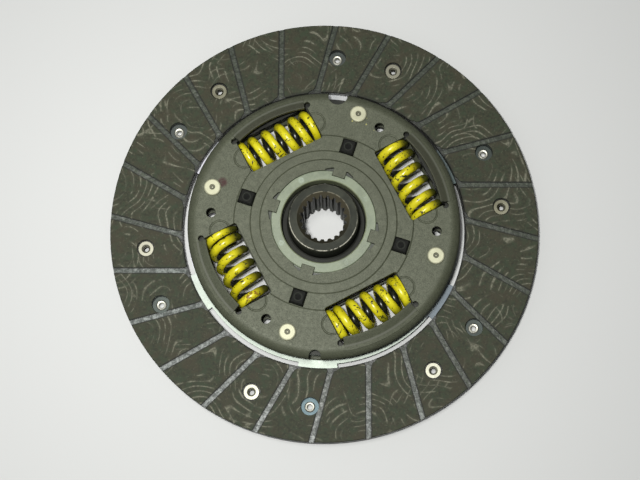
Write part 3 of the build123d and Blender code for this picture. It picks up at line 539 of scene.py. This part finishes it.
def spring_mesh(name, phi, tops, before, after, lag):
    """A closed-end ground spring. Local x runs clockwise round the disc, local y outwards.
    lag moves the lower half of each full turn along the axis, in mm."""
    n = len(tops)
    k = [-before - 0.001] + [float(i) for i in range(n)] + [n - 1 + after + 0.001]
    left = max(-HALF - 1.0, tops[0] - 3.3 * before)
    right = min(HALF + 0.3, tops[-1] + 3.3 * after)
    xs = [left] + list(tops) + [right]
    per = 44
    t = np.arange(-before, n - 1 + after + 1e-6, 1.0 / per)
    # a smooth monotone curve through the strands
    kk, xx = np.array(k), np.array(xs)
    h = np.diff(kk)
    d = np.diff(xx) / h
    m = np.zeros(len(kk))
    m[0], m[-1] = d[0], d[-1]
    for i in range(1, len(kk) - 1):
        m[i] = 0.0 if d[i - 1] * d[i] <= 0 else 2.0 / (1.0 / d[i - 1] + 1.0 / d[i])
    idx = np.clip(np.searchsorted(kk, t, side="right") - 1, 0, len(kk) - 2)
    u = (t - kk[idx]) / h[idx]
    x = ((2 * u**3 - 3 * u**2 + 1) * xx[idx] + (u**3 - 2 * u**2 + u) * h[idx] * m[idx]
         + (-2 * u**3 + 3 * u**2) * xx[idx + 1] + (u**3 - u**2) * h[idx] * m[idx + 1])
    psi = math.pi / 2 + 2 * math.pi * t
    x = x + lag * 0.5 * (1.0 - np.sin(psi)) * np.clip(t, 0.0, 1.0) * np.clip(n - 1 - t, 0.0, 1.0)
    path = np.stack([x, COIL * np.cos(psi), COIL * np.sin(psi)], -1)
    tan = np.gradient(path, axis=0)
    tan /= np.linalg.norm(tan, axis=1)[:, None]
    out = np.stack([np.zeros_like(psi), np.cos(psi), np.sin(psi)], -1)
    out -= (out * tan).sum(1)[:, None] * tan
    out /= np.linalg.norm(out, axis=1)[:, None]
    side = np.cross(tan, out)
    seg = 20
    q = np.linspace(0, 2 * math.pi, seg, endpoint=False)
    ring = path[:, None, :] + WIRE * (np.cos(q)[None, :, None] * out[:, None, :] + np.sin(q)[None, :, None] * side[:, None, :])
    ring[..., 0] = np.clip(ring[..., 0], -HALF, HALF)
    local = ring.reshape(-1, 3)
    a = math.radians(phi)
    # x' clockwise tangent, y' radial
    tx, ty = math.sin(a), -math.cos(a)
    rx, ry = math.cos(a), math.sin(a)
    rad = SPRING_R + local[:, 1]
    co = np.stack([rad * rx + local[:, 0] * tx, rad * ry + local[:, 0] * ty, SPRING_Z + local[:, 2]], -1) * MM
    faces = []
    for i in range(len(t) - 1):
        for j in range(seg):
            j2 = (j + 1) % seg
            faces.append((i * seg + j, i * seg + j2, (i + 1) * seg + j2, (i + 1) * seg + j))
    faces.append(tuple(range(seg - 1, -1, -1)))
    last = (len(t) - 1) * seg
    faces.append(tuple(last + j for j in range(seg)))
    me = bpy.data.meshes.new(name)
    me.from_pydata([tuple(c) for c in co], [], faces)
    me.validate()
    bm = bmesh.new()
    bm.from_mesh(me)
    bmesh.ops.remove_doubles(bm, verts=bm.verts, dist=1e-6)
    bmesh.ops.recalc_face_normals(bm, faces=bm.faces)
    bm.to_mesh(me)
    bm.free()
    me.shade_smooth()
    ob = bpy.data.objects.new(name, me)
    scene.collection.objects.link(ob)
    return ob, (tx, ty, 0.0), (SPRING_R * rx * MM, SPRING_R * ry * MM, SPRING_Z * MM)


for i, (phi, tops, before, after, lag) in enumerate(SPRINGS, 1):
    ob, axis, centre = spring_mesh(f"damper_spring_coil_{i}", phi, tops, before, after, lag)
    mat, base, chip = spring_material(i, axis, centre)
    if i == 3:
        # rust where the spring at the lower left ends
        end = mat.spot(centre[0] / MM - axis[0] * 14.0 + 0.0, centre[1] / MM - axis[1] * 14.0, 3.4, 1.4)
        rn = mat.step(mat.noise(1.4, detail=4.0, rough=0.6, off=(2, 2, 2)), 0.46, 0.58)
        base = mat.mix(mat.mul(mat.mul(end, rn), 0.8), base, (0.16, 0.045, 0.012))
        mat.set(Base_Color=base)
    assign(ob, mat)
    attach(ob, "springs")
    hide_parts(f"damper_spring_{i}")
    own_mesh(ob)


# ---------------------------------------------------------------- finishes on the CAD nodes

facing_front = facing_material("lining_front", FACE_Z, 1.0)
facing_rear = facing_material("lining_rear", 0.0, -1.0)
assign(NODES["front_facing"], facing_front)
assign(NODES["rear_facing"], facing_rear)

assign(NODES["cushion_disc"], cushion_material())

heads = steel_material("rivet_heads", (0.155, 0.150, 0.105), (0.235, 0.230, 0.170), (0.42, 0.58))
heads_base = heads.bsdf.inputs["Base Color"].links[0].from_socket
_, heads_ang, _ = heads.polar()
for mid, tint in ((66.7, (0.26, 0.255, 0.20)), (-173.3, (0.33, 0.325, 0.26)), (-53.3, (0.37, 0.37, 0.30)), (-113.3, (0.37, 0.37, 0.30))):
    gap = heads.math("ABSOLUTE", heads.math("WRAP", heads.sub(heads_ang, mid), 180.0, -180.0))
    heads_base = heads.mix(heads.step(gap, 8.0, 12.0, 0.85, 0.0), heads_base, tint)
heads.set(Base_Color=heads_base)
assign(NODES["front_facing_rivets"], heads)
tails = steel_material("rivet_tails", (0.48, 0.48, 0.41), (0.64, 0.64, 0.56), (0.42, 0.58))
assign(NODES["rear_facing_rivets"], tails)

assign(NODES["front_cover_plate"], cover_material())
# painted shade: the rear plate's phosphate is set darker, for the shade inside the windows
rear_plate, rp_base, *_ = phosphate_material("rear_phosphate", 0.75)
rear_plate.set(Base_Color=rp_base)
assign(NODES["rear_guide_plate"], rear_plate)

zinc = steel_material("stop_rivet_zinc", (0.43, 0.43, 0.295), (0.54, 0.54, 0.38), (0.45, 0.60), metal=0.35)
zinc_base = zinc.bsdf.inputs["Base Color"].links[0].from_socket
for q in (math.radians(72.4 + 90 * k) for k in range(4)):
    px, py = 51.1 * math.cos(q), 51.1 * math.sin(q)
    # painted shade: a dark ring in the dimple of each stop rivet
    dimple_shade = zinc.mul(zinc.spot(px, py, 1.05, 0.45), zinc.sub(1.0, zinc.spot(px, py, 0.25, 0.3)))
    zinc_base = zinc.mix(zinc.mul(dimple_shade, 0.95), zinc_base, (0.030, 0.030, 0.018))
zinc.set(Base_Color=zinc_base)
assign(NODES["stop_rivets"], zinc)

assign(NODES["hub"], hub_material())
# dark steel of its own, set darker still as painted shade inside the windows
flange = steel_material("flange_steel", (0.012, 0.013, 0.010), (0.028, 0.030, 0.023), (0.45, 0.60), metal=0.5)
assign(NODES["hub_flange"], flange)
washer = steel_material("washer_steel", (0.20, 0.20, 0.20), (0.34, 0.34, 0.33), (0.28, 0.44))
for n in ("thrust_washer", "front_diaphragm_washer", "rear_diaphragm_washer"):
    assign(NODES[n], washer)

nylon = nylon_material("bush_nylon", (0.170, 0.205, 0.135), (0.228, 0.268, 0.180))
assign(NODES["front_bush"], nylon)
assign(NODES["rear_bush"], nylon)

black = plastic_material("black_plastic", (0.004, 0.0045, 0.0035), (0.012, 0.013, 0.010), (0.60, 0.78))
black.set(Specular_IOR_Level=0.16)
black_base = black.bsdf.inputs["Base Color"].links[0].from_socket
for k in range(4):                                         # painted highlight on the rim round the dimple in each peg, painted shade inside the dimple
    a = math.radians(72.0 + 90.0 * k)
    at = (35.3 * math.cos(a), 35.3 * math.sin(a))
    black_base = black.mix(black.mul(black.spot(*at, 1.85, 0.3), 0.8), black_base, (0.034, 0.038, 0.030))
    black_base = black.mix(black.mul(black.spot(*at, 1.40, 0.2), 0.95), black_base, (0.0015, 0.0018, 0.0012))
black.set(Base_Color=black_base)
assign(NODES["friction_ring"], black)
composite = plastic_material("friction_composite", (0.035, 0.031, 0.026), (0.070, 0.062, 0.050), (0.6, 0.8))
assign(NODES["rear_friction_washer"], composite)


# ---------------------------------------------------------------- floor, light, camera

def floor():
    me = bpy.data.meshes.new("floor")
    s = 1.6
    me.from_pydata([(-s, -s, 0), (s, -s, 0), (s, s, 0), (-s, s, 0)], [], [(0, 1, 2, 3)])
    ob = bpy.data.objects.new("floor", me)
    scene.collection.objects.link(ob)
    ob.location.z = CAD_BOX[0][2] - 0.0001
    m = Mat("pale_floor")
    m.set(Base_Color=(0.66, 0.67, 0.66), Roughness=0.8, Specular_IOR_Level=0.1)
    assign(ob, m)


def area_light(name, where, aim, size, power, colour, spread=math.pi):
    data = bpy.data.lights.new(name, "AREA")
    data.shape = "DISK"
    data.size = size
    data.energy = power
    data.color = colour
    data.spread = spread
    ob = bpy.data.objects.new(name, data)
    scene.collection.objects.link(ob)
    ob.location = where
    ob.rotation_euler = (Vector(aim) - Vector(where)).to_track_quat("-Z", "Y").to_euler()
    return ob


floor()
area_light("lamp", (-0.156, 0.118, 1.78), (-0.02, 0.0, 0.0), 0.30, 6.0, (1.0, 0.99, 0.96))
area_light("key", (-0.055, -0.11, 0.68), (-0.065, 0.03, 0.0), 0.06, 1.32, (1.0, 0.995, 0.98), spread=1.80)

world = bpy.data.worlds.new("room")
scene.world = world
world.use_nodes = True
wn = world.node_tree
wn.nodes.clear()
w_out = wn.nodes.new("ShaderNodeOutputWorld")
w_bg = wn.nodes.new("ShaderNodeBackground")
w_co = wn.nodes.new("ShaderNodeTexCoord")

w_map = wn.nodes.new("ShaderNodeMapRange")
w_map.inputs[1].default_value = -1.0
w_map.inputs[2].default_value = 1.0
w_map.inputs[3].default_value = 1.95
w_map.inputs[4].default_value = 0.10
w_dot = wn.nodes.new("ShaderNodeVectorMath")
w_dot.operation = "DOT_PRODUCT"
w_dot.inputs[1].default_value = (0.86, 0.51, 0.0)
wn.links.new(w_co.outputs["Generated"], w_dot.inputs[0])
wn.links.new(w_dot.outputs["Value"], w_map.inputs[0])
w_mul = wn.nodes.new("ShaderNodeMath")
w_mul.operation = "MULTIPLY"
w_mul.inputs[1].default_value = 0.16
wn.links.new(w_map.outputs[0], w_mul.inputs[0])
wn.links.new(w_mul.outputs[0], w_bg.inputs["Strength"])
w_bg.inputs["Color"].default_value = (0.97, 0.985, 1.0, 1.0)
wn.links.new(w_bg.outputs[0], w_out.inputs[0])

cam_data = bpy.data.cameras.new("camera")
cam_data.sensor_width = 36.0
cam_data.lens = 81.05
cam_data.clip_start = 0.01
cam_data.clip_end = 20.0
cam = bpy.data.objects.new("camera", cam_data)
scene.collection.objects.link(cam)
cam.matrix_world = Matrix((
    (0.999884451, 0.002684601, 0.014962521, 0.00785412),
    (0.000653557, 0.975780543, -0.218750782, -0.14535592),
    (-0.015187396, 0.218735284, 0.975666038, 0.63052060),
    (0.0, 0.0, 0.0, 1.0),
))
scene.camera = cam

scene.view_settings.view_transform = "Standard"
scene.view_settings.look = "None"
scene.view_settings.exposure = 0.0
scene.view_settings.gamma = 1.0
